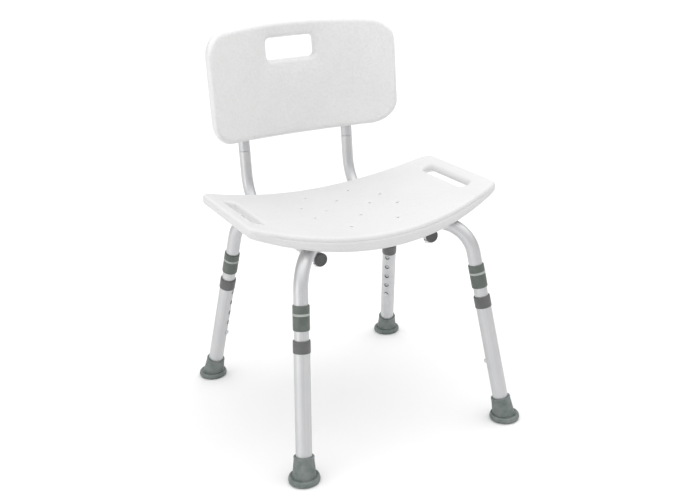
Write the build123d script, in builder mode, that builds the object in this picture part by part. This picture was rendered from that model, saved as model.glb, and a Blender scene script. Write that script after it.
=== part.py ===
from build123d import *
import math
import os

# Shower chair: dished seat on four splayed, height-adjustable legs, with a backrest on two tubes.
# Millimetres. Origin on the floor at the centre of the four feet, +X to the viewer's right,
# +Y to the back, +Z up.

os.makedirs("parts", exist_ok=True)

# ---------------------------------------------------------------- driving dimensions
foot_x, foot_y = 210.5, 229.2          # where the leg axes meet the floor
lean_x = 33.6                          # inward lean per 300 mm of height
lean_front, lean_rear = 52.0, 87.8     # lean towards the middle, front and rear legs

tube_d, tube_wall = 25.4, 1.3          # frame arms and inner leg posts
outer_d, outer_wall = 28.6, 1.3        # outer leg tubes
back_d, back_wall = 22.2, 1.3          # back tubes and posts

arm_z = 379.5                          # height of the arms under the seat
arm_bend = 67.0
arm_heading = 43.5                     # degrees from the X axis
arm_end_x = 40.0                       # where the arms stop, from the middle

# stations along each leg axis, measured from the floor
t_tube_bottom, t_sleeve_top = 10.0, 44.5
t_button, hole_pitch, hole_count = 118.6, 25.4, 5
t_post_bottom = 95.0
t_ring_bottom, t_tube_top, t_ring_top = 227.3, 245.0, 249.3
t_lower_collar, t_spacer, t_upper_collar, t_collar_top = 266.3, 292.0, 296.5, 310.5
t_joint = 294.25
ring_d, collar_d, spacer_d = 30.7, 29.5, 30.2
hole_d, button_d, button_proud = 9.0, 8.0, 3.7

seat_half_w, seat_z, seat_rise = 248.0, 400.5, 42.7
seat_t, seat_t_end = 28.4, 19.5         # thickness in the middle and at the ends
seat_front, seat_front_bow = -180.8, 41.9
seat_back, seat_back_bow = 136.8, 34.5
seat_corner_front, seat_corner_rear = 17.0, 34.0
seat_wall, seat_rim = 3.6, 8.0
slot_x, slot_y, slot_w, slot_l = 208.5, -20.5, 17.0, 145.0
slot_r, slot_lip, slot_edge = 8.0, 8.0, 9.0   # corner, top lip, depth of the narrowest edge
slot_flare = 48.0                       # how fast the slot opens out below that edge
drain_d = 6.0
drains = [(0, 34), (0, -65), (46, 77), (-46, 77), (45, -14), (-45, -14), (47, -118), (-47, -118),
          (83, 14), (-83, 14), (85, -50), (-85, -50)]

bt_x, bt_z, bt_bend = 113.0, 355.4, 80.0     # back tubes
bt_front, bt_joint_z = -126.0, 477.0
bt_slope = 0.0582                             # recline of the upright part
bt_y450 = 204.85
post_top_z = 648.0

back_half_w, back_h, back_bow, back_t = 195.5, 223.4, 78.0, 24.0
back_arch, back_sag = 10.3, 9.0        # how far the top edge rises and the lower edge dips in the middle
back_y, back_z = 201.6, 496.6
back_corner_top, back_corner_low, back_rim, back_wall_t = 45.2, 49.6, 9.0, 3.6
grip_w, grip_h, grip_r, grip_v = 103.0, 43.1, 9.5, 171.0

bolt_d, bolt_hole = 6.0, 6.8

legs = {"front_left": (-1, -1), "front_right": (1, -1), "rear_left": (-1, 1), "rear_right": (1, 1)}


def leg_dir(sx, sy):
    lean = lean_front if sy < 0 else lean_rear
    return Vector(-sx * lean_x, -sy * lean, 300).normalized()


def leg_point(sx, sy, t):
    return Vector(sx * foot_x, sy * foot_y, 0) + leg_dir(sx, sy) * t


def leg_plane(sx, sy, t):
    # z along the leg, x towards the middle of the chair, where the buttons face
    d = leg_dir(sx, sy)
    h = Vector(-sx, -sy, 0).normalized()
    n = (h - d * h.dot(d)).normalized()
    return Plane(origin=leg_point(sx, sy, t), x_dir=n, z_dir=d)


def arm_corner(sx, sy):
    d = leg_dir(sx, sy)
    return leg_point(sx, sy, arm_z / d.Z)


def arm_heading_vec(sx, sy):
    a = math.radians(arm_heading)
    return Vector(-sx * math.cos(a), -sy * math.sin(a), 0)


def arm_at_x(sx, sy, x):
    # point of the arm's axis at distance x from the middle plane
    c, h = arm_corner(sx, sy), arm_heading_vec(sx, sy)
    return c + h * ((abs(c.X) - x) / abs(h.X))


def seat_top_z(x):
    return seat_z + seat_rise * (x / seat_half_w) ** 2


def bt_dir():
    return Vector(0, bt_slope, 1).normalized()


def bt_point(side, z):
    return Vector(side * bt_x, bt_y450 + bt_slope * (z - 450), z)


cross_pts = {k: arm_at_x(*s, bt_x) for k, s in legs.items()}       # arm over back tube
inner_pts = {k: arm_at_x(*s, arm_end_x + 16) for k, s in legs.items()}


def write(builder, name):
    builder.part.label = name
    export_step(builder.part, f"parts/{name}.step")


# ---------------------------------------------------------------- seat
seat_r = (seat_half_w ** 2 + seat_rise ** 2) / (2 * seat_rise)
under_rise = seat_rise + seat_t - seat_t_end
under_r = (seat_half_w ** 2 + under_rise ** 2) / (2 * under_rise)


def seat_outline(inset):
    # plan of the seat: bowed front and back edges, straight ends
    w = seat_half_w - inset
    yf0, yf1 = seat_front + inset, seat_front + seat_front_bow + inset
    yb0, yb1 = seat_back - inset, seat_back - seat_back_bow - inset
    with BuildLine() as edge:
        ThreePointArc((-w, yf1), (0, yf0), (w, yf1))
        Line((w, yf1), (w, yb1))
        ThreePointArc((w, yb1), (0, yb0), (-w, yb1))
        Line((-w, yb1), (-w, yf1))
    make_face(edge.edges())


def seat_band(top_cut, bottom_cut):
    # section across the seat: two arcs, closer together at the ends
    x = seat_half_w + 4
    c1, c2 = seat_z + seat_r, seat_z - seat_t + under_r
    r1, r2 = seat_r + top_cut, under_r - bottom_cut
    z1, z2 = c1 - math.sqrt(r1 ** 2 - x ** 2), c2 - math.sqrt(r2 ** 2 - x ** 2)
    with BuildLine() as edge:
        ThreePointArc((-x, z1), (0, c1 - r1), (x, z1))
        Line((x, z1), (x, z2))
        ThreePointArc((x, z2), (0, c2 - r2), (-x, z2))
        Line((-x, z2), (-x, z1))
    make_face(edge.edges())


def slot_plane(side):
    # plane of a slot's narrowest edge, in line with the seat's slope there, z downwards
    slope = 2 * seat_rise * slot_x / seat_half_w ** 2
    t = Vector(1, 0, side * slope).normalized()
    n = Vector(side * slope, 0, -1).normalized()
    return Plane(origin=(side * slot_x, slot_y, seat_top_z(slot_x) - slot_edge), x_dir=t, z_dir=n)


def channel_plane(sx, sy):
    # plane across an arm at its inner end, x level, y up
    h = arm_heading_vec(sx, sy)
    p = arm_at_x(sx, sy, arm_end_x - 5)
    return Plane(origin=p, x_dir=Vector(0, 0, 1).cross(h * -1), z_dir=h * -1)


def channel_profile(r):
    Circle(r)
    with Locations((0, -20)):
        Rectangle(2 * r, 40)


with BuildPart() as seat_cavity:
    with BuildSketch(Plane.XY.offset(340)):
        seat_outline(7.5)
    extrude(amount=150)
    corners = seat_cavity.edges().filter_by(Axis.Z).sort_by(Axis.Y)
    fillet(corners[0:2], seat_corner_front - 7)
    corners = seat_cavity.edges().filter_by(Axis.Z).sort_by(Axis.Y)
    fillet(corners[-2:], seat_corner_rear - 7)
    with BuildSketch(Plane.XZ):
        seat_band(seat_wall, seat_wall)
    extrude(amount=300, both=True, mode=Mode.INTERSECT)
    for sx, sy in legs.values():
        with BuildSketch(channel_plane(sx, sy).offset(-6)):
            channel_profile(tube_d / 2 + 0.3 + seat_wall)
        extrude(amount=210, mode=Mode.SUBTRACT)
    for side in (-1, 1):
        with BuildSketch(Plane.XY.offset(330)):
            with Locations((side * slot_x, slot_y)):
                RectangleRounded(slot_w + 2 * (slot_lip + 2), slot_l + 2 * (slot_lip + 2), slot_r + slot_lip + 2)
        extrude(amount=160, mode=Mode.SUBTRACT)
        with BuildSketch(slot_plane(side).offset(-seat_wall * 1.4)):
            RectangleRounded(slot_w + 2 * seat_wall, slot_l + 2 * seat_wall, slot_r + seat_wall)
        extrude(amount=36, taper=-slot_flare, mode=Mode.SUBTRACT)
    with BuildSketch(Plane.XY.offset(330)):
        with Locations(*drains):
            Circle(drain_d / 2 + 2.6)
        with Locations(*[(p.X, p.Y) for p in list(cross_pts.values()) + list(inner_pts.values())]):
            Circle(9.5)
    extrude(amount=160, mode=Mode.SUBTRACT)

with BuildPart() as seat:
    with BuildSketch(Plane.XY.offset(340)):
        seat_outline(0)
    extrude(amount=150)
    corners = seat.edges().filter_by(Axis.Z).sort_by(Axis.Y)
    fillet(corners[0:2], seat_corner_front)
    corners = seat.edges().filter_by(Axis.Z).sort_by(Axis.Y)
    fillet(corners[-2:], seat_corner_rear)
    with BuildSketch(Plane.XZ):
        seat_band(0, 0)
    extrude(amount=300, both=True, mode=Mode.INTERSECT)
    rims = seat.faces().filter_by(GeomType.CYLINDER).sort_by(SortBy.AREA)[-2:]
    fillet(rims.edges(), seat_rim)
    for side in (-1, 1):
        with BuildSketch(Plane.XY.offset(330)):
            with Locations((side * slot_x, slot_y)):
                RectangleRounded(slot_w, slot_l, slot_r)
        extrude(amount=160, mode=Mode.SUBTRACT)
        with BuildSketch(slot_plane(side)):
            RectangleRounded(slot_w + 0.4, slot_l + 0.4, slot_r + 0.2)
        extrude(amount=30, taper=-slot_flare, mode=Mode.SUBTRACT)
    top_face = seat.faces().filter_by(GeomType.CYLINDER).sort_by(SortBy.AREA)[-2:].sort_by(Axis.Z)[-1]
    fillet([e for wire in top_face.inner_wires() for e in wire.edges()], slot_lip)
    with BuildSketch(Plane.XY.offset(330)):
        with Locations(*drains):
            Circle(drain_d / 2)
    extrude(amount=160, mode=Mode.SUBTRACT)
    for sx, sy in legs.values():
        with BuildSketch(channel_plane(sx, sy)):
            channel_profile(tube_d / 2 + 0.3)
        extrude(amount=200, mode=Mode.SUBTRACT)
    # blind sockets for the threaded inserts
    for k in legs:
        for p, depth in ((cross_pts[k], 12.4), (inner_pts[k], 7.6)):
            with BuildSketch(Plane.XY.offset(arm_z)):
                with Locations((p.X, p.Y)):
                    Circle(5.1)
            extrude(amount=tube_d / 2 + 0.3 + depth, mode=Mode.SUBTRACT)
    add(seat_cavity.part, mode=Mode.SUBTRACT)
write(seat, "seat")

# ---------------------------------------------------------------- frame arms
with BuildPart() as arm_plugs:
    for sx, sy in legs.values():
        h = arm_heading_vec(sx, sy)
        with BuildSketch(Plane(origin=arm_at_x(sx, sy, arm_end_x), z_dir=h)):
            Circle(tube_d / 2)
        extrude(amount=2.5)
        with BuildSketch(Plane(origin=arm_at_x(sx, sy, arm_end_x), z_dir=h * -1)):
            Circle(tube_d / 2 - tube_wall - 0.1)
        extrude(amount=8)
write(arm_plugs, "arm_plugs")

for name, (sx, sy) in legs.items():
    start = leg_point(sx, sy, t_joint)
    end = arm_at_x(sx, sy, arm_end_x)
    with BuildPart() as arm:
        with BuildLine() as route:
            FilletPolyline(start, arm_corner(sx, sy), end, radius=arm_bend)
        with BuildSketch(Plane(origin=start, z_dir=leg_dir(sx, sy))):
            Circle(tube_d / 2)
            Circle(tube_d / 2 - tube_wall, mode=Mode.SUBTRACT)
        sweep(path=route.line)
        for p in (cross_pts[name], inner_pts[name]):
            with BuildSketch(Plane.XY.offset(arm_z - 20)):
                with Locations((p.X, p.Y)):
                    Circle(bolt_hole / 2)
            extrude(amount=40, mode=Mode.SUBTRACT)
    write(arm, f"arm_{name}")

# ---------------------------------------------------------------- leg joints, shared groups
with BuildPart() as upper_collars:
    for sx, sy in legs.values():
        with BuildSketch(leg_plane(sx, sy, t_upper_collar)):
            Circle(collar_d / 2)
            Circle(tube_d / 2 + 0.1, mode=Mode.SUBTRACT)
        extrude(amount=t_collar_top - t_upper_collar)
write(upper_collars, "upper_collars")

with BuildPart() as spacer_rings:
    for sx, sy in legs.values():
        with BuildSketch(leg_plane(sx, sy, t_spacer)):
            Circle(spacer_d / 2)
            Circle(tube_d / 2 + 0.1, mode=Mode.SUBTRACT)
        extrude(amount=t_upper_collar - t_spacer)
write(spacer_rings, "spacer_rings")

with BuildPart() as lower_collars:
    for sx, sy in legs.values():
        with BuildSketch(leg_plane(sx, sy, t_lower_collar)):
            Circle(collar_d / 2)
            Circle(tube_d / 2 + 0.1, mode=Mode.SUBTRACT)
        extrude(amount=t_spacer - t_lower_collar)
write(lower_collars, "lower_collars")

with BuildPart() as joint_spigots:
    for sx, sy in legs.values():
        with BuildSketch(leg_plane(sx, sy, t_joint - 30)):
            Circle(tube_d / 2 - tube_wall - 0.1)
            Circle(tube_d / 2 - tube_wall - 2.1, mode=Mode.SUBTRACT)
        extrude(amount=60)
write(joint_spigots, "joint_spigots")

# ---------------------------------------------------------------- legs
for name, (sx, sy) in legs.items():
    d = leg_dir(sx, sy)
    at_button = leg_plane(sx, sy, t_button)
    # plane whose z runs out along the button, x along the leg
    out = Plane(origin=at_button.origin, x_dir=d, z_dir=at_button.x_dir)

    with BuildPart() as post:
        with BuildSketch(leg_plane(sx, sy, t_post_bottom)):
            Circle(tube_d / 2)
            Circle(tube_d / 2 - tube_wall, mode=Mode.SUBTRACT)
        extrude(amount=t_joint - t_post_bottom)
        with BuildSketch(out):
            Circle(hole_d / 2)
        extrude(amount=20, mode=Mode.SUBTRACT)
    write(post, f"leg_post_{name}")

    with BuildPart() as tube:
        with BuildSketch(leg_plane(sx, sy, t_tube_bottom)):
            Circle(outer_d / 2)
            Circle(outer_d / 2 - outer_wall, mode=Mode.SUBTRACT)
        extrude(amount=t_tube_top - t_tube_bottom)
        with BuildSketch(out):
            with Locations(*[(hole_pitch * i, 0) for i in range(hole_count)]):
                Circle(hole_d / 2)
        extrude(amount=20, mode=Mode.SUBTRACT)
    write(tube, f"leg_tube_{name}")

    with BuildPart() as ring:
        with BuildSketch(leg_plane(sx, sy, t_ring_bottom)):
            Circle(ring_d / 2)
            Circle(outer_d / 2 + 0.1, mode=Mode.SUBTRACT)
        extrude(amount=t_tube_top - t_ring_bottom)
        with BuildSketch(leg_plane(sx, sy, t_tube_top)):
            Circle(ring_d / 2)
            Circle(tube_d / 2 + 0.35, mode=Mode.SUBTRACT)
        extrude(amount=t_ring_top - t_tube_top)
        chamfer(ring.edges().filter_by(GeomType.CIRCLE).group_by(SortBy.RADIUS)[-1], 0.5)
    write(ring, f"leg_ring_{name}")

    # rubber tip: level base on the floor, sleeve in line with the leg
    with BuildPart() as tip:
        with BuildSketch(Plane(origin=(sx * foot_x, sy * foot_y, 0), x_dir=(1, 0, 0), z_dir=(0, -1, 0))):
            with BuildLine():
                Polyline((0, 0), (26.7, 0), (28.2, 2.5), (28.2, 6.5), (25.8, 9.8), (21.2, 12.6), (0, 12.6), (0, 0))
            make_face()
        revolve(axis=Axis((sx * foot_x, sy * foot_y, 0), (0, 0, 1)))
        with BuildSketch(leg_plane(sx, sy, 9)):
            Circle(21)
        with BuildSketch(leg_plane(sx, sy, t_sleeve_top)):
            Circle(17.6)
        loft()
        with BuildSketch(leg_plane(sx, sy, t_tube_bottom - 1.8)):
            Circle(outer_d / 2 + 0.1)
        extrude(amount=60, mode=Mode.SUBTRACT)
    write(tip, f"foot_tip_{name}")

    with BuildPart() as foot_washer:
        with BuildSketch(leg_plane(sx, sy, t_tube_bottom - 1.7)):
            Circle(outer_d / 2 - 0.3)
            Circle(5, mode=Mode.SUBTRACT)
        extrude(amount=1.6)
    write(foot_washer, f"foot_washer_{name}")

    # snap button: domed pin with an inner flange
    head = outer_d / 2 + button_proud
    with BuildPart() as button:
        with BuildSketch(out.offset(7.2)):
            Circle(6)
        extrude(amount=2.0)
        with BuildSketch(out.offset(9.0)):
            Circle(button_d / 2)
        extrude(amount=head - 9.0)
        fillet(button.edges().filter_by(GeomType.CIRCLE).sort_by(
            lambda e: (e.center() - out.origin).dot(out.z_dir))[-1], 2.2)
    write(button, f"snap_button_{name}")

    # bent leaf spring behind the button
    side_plane = Plane(origin=at_button.origin, x_dir=at_button.x_dir, z_dir=at_button.x_dir.cross(d))
    with BuildPart() as spring:
        with BuildSketch(side_plane):
            with BuildLine():
                Polyline((-10.0, -12), (-10.0, 10), (-1.5, 26), (6.3, 9), (6.3, -6))
            trace(line_width=0.8)
        extrude(amount=2.8, both=True)
    write(spring, f"snap_spring_{name}")

# ---------------------------------------------------------------- back tubes
for side, word in ((-1, "left"), (1, "right")):
    corner = bt_point(side, bt_z)
    with BuildPart() as back_tube:
        with BuildLine() as route:
            FilletPolyline((side * bt_x, bt_front, bt_z), corner, bt_point(side, bt_joint_z), radius=bt_bend)
        with BuildSketch(Plane(origin=(side * bt_x, bt_front, bt_z), z_dir=(0, 1, 0))):
            Circle(back_d / 2)
            Circle(back_d / 2 - back_wall, mode=Mode.SUBTRACT)
        sweep(path=route.line)
        for k, s in legs.items():
            if s[0] == side:
                with BuildSketch(Plane.XY.offset(bt_z - 20)):
                    with Locations((cross_pts[k].X, cross_pts[k].Y)):
                        Circle(bolt_hole / 2)
                extrude(amount=40, mode=Mode.SUBTRACT)
    write(back_tube, f"back_tube_{word}")

with BuildPart() as back_tube_caps:
    for side in (-1, 1):
        with BuildSketch(Plane(origin=(side * bt_x, bt_front, bt_z), z_dir=(0, -1, 0))):
            Circle(back_d / 2 + 1.3)
        extrude(amount=3.5)
        with BuildSketch(Plane(origin=(side * bt_x, bt_front, bt_z), z_dir=(0, 1, 0))):
            Circle(back_d / 2 - back_wall - 0.1)
        extrude(amount=7)
    fronts = back_tube_caps.faces().filter_by(Axis.Y).sort_by(Axis.Y)[0:2]
    fillet(fronts.edges(), 1.5)
write(back_tube_caps, "back_tube_caps")

up = bt_dir()
with BuildPart() as back_spigots:
    for side in (-1, 1):
        p = bt_point(side, bt_joint_z)
        with BuildSketch(Plane(origin=p - up * 34, x_dir=(1, 0, 0), z_dir=up)):
            Circle(back_d / 2 - back_wall - 0.3)
            Circle(back_d / 2 - back_wall - 1.8, mode=Mode.SUBTRACT)
        extrude(amount=78)
        with BuildSketch(Plane(origin=p + up * 16, x_dir=(1, 0, 0), z_dir=Vector(1, 0, 0).cross(up) * -1)):
            Circle(3.6)
        extrude(amount=14, mode=Mode.SUBTRACT)
write(back_spigots, "back_spigots")

rear_dir = Vector(1, 0, 0).cross(up) * -1      # out of the rear of the posts
back_bolt_v = (52.0, 118.0)                    # bolt heights on the panel
post_len = (bt_point(1, post_top_z) - bt_point(1, bt_joint_z)).length

# panel frame: v up the panel, w through it to the rear
v_dir = Vector(0, bt_slope, 1).normalized()
panel_o = Vector(0, back_y, back_z)
w_dir = Vector(0, v_dir.Z, -v_dir.Y)


def panel_point(x, v, w):
    return panel_o + Vector(1, 0, 0) * x + v_dir * v + w_dir * w


def post_w(side):
    # distance of the post axis behind the panel's reference plane
    return (bt_point(side, back_z) - panel_o).dot(w_dir)


for side, word in ((-1, "left"), (1, "right")):
    p = bt_point(side, bt_joint_z)
    with BuildPart() as back_post:
        with BuildSketch(Plane(origin=p + up * 0.2, x_dir=(1, 0, 0), z_dir=up)):
            Circle(back_d / 2)
            Circle(back_d / 2 - back_wall, mode=Mode.SUBTRACT)
        extrude(amount=post_len)
        with BuildSketch(Plane(origin=p + up * 16, x_dir=(1, 0, 0), z_dir=rear_dir)):
            Circle(3.6)
        extrude(amount=14, mode=Mode.SUBTRACT)
        for v in back_bolt_v:
            with BuildSketch(Plane(origin=panel_point(side * bt_x, v, post_w(side)), x_dir=(1, 0, 0), z_dir=rear_dir)):
                Circle(2.9)
            extrude(amount=16, both=True, mode=Mode.SUBTRACT)
    write(back_post, f"back_post_{word}")

    base = Plane(origin=p + up * 16, x_dir=(1, 0, 0), z_dir=rear_dir)
    with BuildPart() as back_button:
        with BuildSketch(base.offset(4.4)):
            Circle(4.4)
        extrude(amount=1.6)
        with BuildSketch(base.offset(5.8)):
            Circle(3.1)
        extrude(amount=back_d / 2 + 2.6 - 5.8)
        fillet(back_button.edges().filter_by(GeomType.CIRCLE).sort_by(
            lambda e: (e.center() - base.origin).dot(rear_dir))[-1], 1.6)
    write(back_button, f"back_button_{word}")

with BuildPart() as back_springs:
    for side in (-1, 1):
        p = bt_point(side, bt_joint_z) + up * 16
        with BuildSketch(Plane(origin=p, x_dir=rear_dir, z_dir=rear_dir.cross(up))):
            with BuildLine():
                Polyline((-6.6, -8), (-6.6, 8), (-1, 18), (3.6, 7), (3.6, -5))
            trace(line_width=0.7)
        extrude(amount=2.0, both=True)
write(back_springs, "back_springs")

with BuildPart() as back_post_caps:
    for side in (-1, 1):
        top = bt_point(side, bt_joint_z) + up * (post_len + 0.2)
        with BuildSketch(Plane(origin=top, x_dir=(1, 0, 0), z_dir=up)):
            Circle(back_d / 2)
        extrude(amount=2.5)
        with BuildSketch(Plane(origin=top, x_dir=(1, 0, 0), z_dir=up * -1)):
            Circle(back_d / 2 - back_wall - 0.1)
        extrude(amount=7)
write(back_post_caps, "back_post_caps")

# ---------------------------------------------------------------- backrest
back_r = (back_half_w ** 2 + back_bow ** 2) / (2 * back_bow)
face_plane = Plane(origin=panel_o, x_dir=(1, 0, 0), z_dir=w_dir * -1)      # x, v; z to the front
plan_plane = Plane(origin=panel_o, x_dir=(1, 0, 0), z_dir=v_dir)           # x, w


def back_outline(inset):
    w = back_half_w - inset
    top, low = back_h - inset, inset
    with BuildLine() as edge:
        ThreePointArc((-w, low + back_sag), (0, low), (w, low + back_sag))
        Line((w, low + back_sag), (w, top - back_arch))
        ThreePointArc((w, top - back_arch), (0, top), (-w, top - back_arch))
        Line((-w, top - back_arch), (-w, low + back_sag))
    make_face(edge.edges())


def back_band(front_cut, rear_cut):
    # plan section: concave to the front, the ends reach forward
    x = back_half_w + 10
    r1, r2 = back_r - front_cut * -1, back_r + back_t - rear_cut
    w1 = lambda xx, r, off: off - back_r + math.sqrt(r ** 2 - xx ** 2)
    with BuildLine() as edge:
        ThreePointArc((-x, w1(x, r1, 0)), (0, w1(0, r1, 0)), (x, w1(x, r1, 0)))
        Line((x, w1(x, r1, 0)), (x, w1(x, r2, 0)))
        ThreePointArc((x, w1(x, r2, 0)), (0, w1(0, r2, 0)), (-x, w1(x, r2, 0)))
        Line((-x, w1(x, r2, 0)), (-x, w1(x, r1, 0)))
    make_face(edge.edges())


with BuildPart() as back_cavity:
    with BuildSketch(face_plane.offset(100)):
        back_outline(7.5)
    extrude(amount=-160)
    corners = back_cavity.edges().filter_by(Axis(origin=(0, 0, 0), direction=w_dir)).sort_by(Axis.Z)
    fillet(corners[0:2], back_corner_low - 8)
    corners = back_cavity.edges().filter_by(Axis(origin=(0, 0, 0), direction=w_dir)).sort_by(Axis.Z)
    fillet(corners[-2:], back_corner_top - 8)
    with BuildSketch(plan_plane):
        back_band(back_wall_t, back_wall_t)
    extrude(amount=400, both=True, mode=Mode.INTERSECT)
    with BuildSketch(face_plane.offset(100)):
        with Locations((0, grip_v)):
            RectangleRounded(grip_w + 2 * back_wall_t, grip_h + 2 * back_wall_t, grip_r + 2)
        with Locations(*[(s * bt_x, v) for s in (-1, 1) for v in back_bolt_v]):
            Circle(9)
    extrude(amount=-160, mode=Mode.SUBTRACT)
    for side in (-1, 1):
        with BuildSketch(Plane(origin=panel_point(side * bt_x, -20, post_w(side)), x_dir=(1, 0, 0), z_dir=v_dir)):
            Circle(back_d / 2 + 0.2 + back_wall_t)
        extrude(amount=300, mode=Mode.SUBTRACT)

with BuildPart() as backrest:
    with BuildSketch(face_plane.offset(100)):
        back_outline(0)
    extrude(amount=-160)
    corners = backrest.edges().filter_by(Axis(origin=(0, 0, 0), direction=w_dir)).sort_by(Axis.Z)
    fillet(corners[0:2], back_corner_low)
    corners = backrest.edges().filter_by(Axis(origin=(0, 0, 0), direction=w_dir)).sort_by(Axis.Z)
    fillet(corners[-2:], back_corner_top)
    with BuildSketch(plan_plane):
        back_band(0, 0)
    extrude(amount=400, both=True, mode=Mode.INTERSECT)
    skins = backrest.faces().filter_by(GeomType.CYLINDER).sort_by(SortBy.AREA)[-2:]
    fillet(skins.edges(), back_rim)
    with BuildSketch(face_plane.offset(100)):
        with Locations((0, grip_v)):
            RectangleRounded(grip_w, grip_h, grip_r)
    extrude(amount=-160, mode=Mode.SUBTRACT)
    for side in (-1, 1):
        with BuildSketch(Plane(origin=panel_point(side * bt_x, -20, post_w(side)), x_dir=(1, 0, 0), z_dir=v_dir)):
            Circle(back_d / 2 + 0.2)
        extrude(amount=20 + 156, mode=Mode.SUBTRACT)
        # blind sockets for the threaded inserts
        for v in back_bolt_v:
            with BuildSketch(Plane(origin=panel_point(side * bt_x, v, post_w(side)), x_dir=(1, 0, 0), z_dir=w_dir * -1)):
                Circle(4.1)
            extrude(amount=back_d / 2 + 14, mode=Mode.SUBTRACT)
    add(back_cavity.part, mode=Mode.SUBTRACT)
write(backrest, "backrest")

# ---------------------------------------------------------------- fasteners
with BuildPart() as seat_bolts:
    for k in legs:
        for p, z0, tip_z in ((cross_pts[k], bt_z - back_d / 2 - 1.4, arm_z + 24.0),
                             (inner_pts[k], arm_z - tube_d / 2 - 1.4, arm_z + 19.6)):
            with BuildSketch(Plane.XY.offset(z0 - 4)):
                with Locations((p.X, p.Y)):
                    RegularPolygon(5.6, 6)
            extrude(amount=4)
            with BuildSketch(Plane.XY.offset(z0)):
                with Locations((p.X, p.Y)):
                    Circle(bolt_d / 2)
            extrude(amount=tip_z - z0)
write(seat_bolts, "seat_bolts")

with BuildPart() as seat_washers:
    for k in legs:
        for p, z0 in ((cross_pts[k], bt_z - back_d / 2 - 1.4), (inner_pts[k], arm_z - tube_d / 2 - 1.4)):
            with BuildSketch(Plane.XY.offset(z0 + 0.05)):
                with Locations((p.X, p.Y)):
                    Circle(7)
                    Circle(bolt_d / 2 + 0.3, mode=Mode.SUBTRACT)
            extrude(amount=1.3)
write(seat_washers, "seat_washers")

with BuildPart() as seat_inserts:
    for k in legs:
        for p, length in ((cross_pts[k], 11.8), (inner_pts[k], 7.0)):
            with BuildSketch(Plane.XY.offset(arm_z + tube_d / 2 + 0.3)):
                with Locations((p.X, p.Y)):
                    Circle(5.0)
                    Circle(bolt_d / 2 + 0.1, mode=Mode.SUBTRACT)
            extrude(amount=length)
write(seat_inserts, "seat_inserts")

with BuildPart() as backrest_bolts:
    for side in (-1, 1):
        for v in back_bolt_v:
            pl = Plane(origin=panel_point(side * bt_x, v, post_w(side)), x_dir=(1, 0, 0), z_dir=rear_dir)
            with BuildSketch(pl.offset(back_d / 2 + 1.2)):
                Circle(4.8)
            extrude(amount=3)
            with BuildSketch(pl.offset(back_d / 2 + 1.2)):
                Circle(2.5)
            extrude(amount=-(back_d + 1.2 + 12.5))
write(backrest_bolts, "backrest_bolts")

with BuildPart() as backrest_washers:
    for side in (-1, 1):
        for v in back_bolt_v:
            pl = Plane(origin=panel_point(side * bt_x, v, post_w(side)), x_dir=(1, 0, 0), z_dir=rear_dir)
            with BuildSketch(pl.offset(back_d / 2 + 0.05)):
                Circle(6)
                Circle(2.8, mode=Mode.SUBTRACT)
            extrude(amount=1.1)
write(backrest_washers, "backrest_washers")

with BuildPart() as backrest_inserts:
    for side in (-1, 1):
        for v in back_bolt_v:
            pl = Plane(origin=panel_point(side * bt_x, v, post_w(side)), x_dir=(1, 0, 0), z_dir=rear_dir)
            with BuildSketch(pl.offset(-(back_d / 2 + 1.0))):
                Circle(4.0)
                Circle(2.6, mode=Mode.SUBTRACT)
            extrude(amount=-12)
write(backrest_inserts, "backrest_inserts")
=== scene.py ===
import bpy
import bmesh
import math
import numpy as np
from mathutils import Matrix, Vector
from mathutils.geometry import delaunay_2d_cdt


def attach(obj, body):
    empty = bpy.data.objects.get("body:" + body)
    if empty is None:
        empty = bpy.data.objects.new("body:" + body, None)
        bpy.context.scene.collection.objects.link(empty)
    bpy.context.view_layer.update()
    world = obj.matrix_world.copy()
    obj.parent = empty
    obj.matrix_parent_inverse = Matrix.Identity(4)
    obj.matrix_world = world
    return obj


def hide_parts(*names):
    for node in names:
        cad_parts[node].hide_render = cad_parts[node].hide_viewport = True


# Shower chair: dished seat on four splayed legs, with a backrest on two tubes.
# Dimensions below are in millimetres, meshes are written in metres.

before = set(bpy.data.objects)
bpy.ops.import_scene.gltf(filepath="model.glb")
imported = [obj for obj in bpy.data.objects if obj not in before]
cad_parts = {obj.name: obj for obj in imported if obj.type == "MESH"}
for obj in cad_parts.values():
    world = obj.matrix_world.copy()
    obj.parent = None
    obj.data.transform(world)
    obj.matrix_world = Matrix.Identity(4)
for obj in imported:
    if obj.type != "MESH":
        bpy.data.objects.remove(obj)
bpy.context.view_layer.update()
MM = 0.001

# ------------------------------------------------------------------ dimensions
FOOT_X, FOOT_Y = 210.5, 229.2
LEAN_X, LEAN_FRONT, LEAN_REAR = 33.6, 52.0, 87.8
TUBE_D, OUTER_D, BACK_D, WALL = 25.4, 28.6, 22.2, 1.3
ARM_Z, ARM_BEND, ARM_HEADING, ARM_END_X = 379.5, 67.0, 43.5, 40.0
T_TUBE_BOTTOM, T_SLEEVE_TOP = 10.0, 44.5
T_BUTTON, HOLE_PITCH, HOLE_COUNT, HOLE_D = 118.6, 25.4, 5, 9.0
T_RING_BOTTOM, T_TUBE_TOP, T_RING_TOP = 227.3, 245.0, 249.3
T_LOWER, T_SPACER, T_UPPER, T_COLLAR_TOP = 266.3, 292.0, 296.5, 310.5
T_JOINT = 294.25
RING_R, COLLAR_R, SPACER_R = 15.35, 14.75, 15.1

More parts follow.
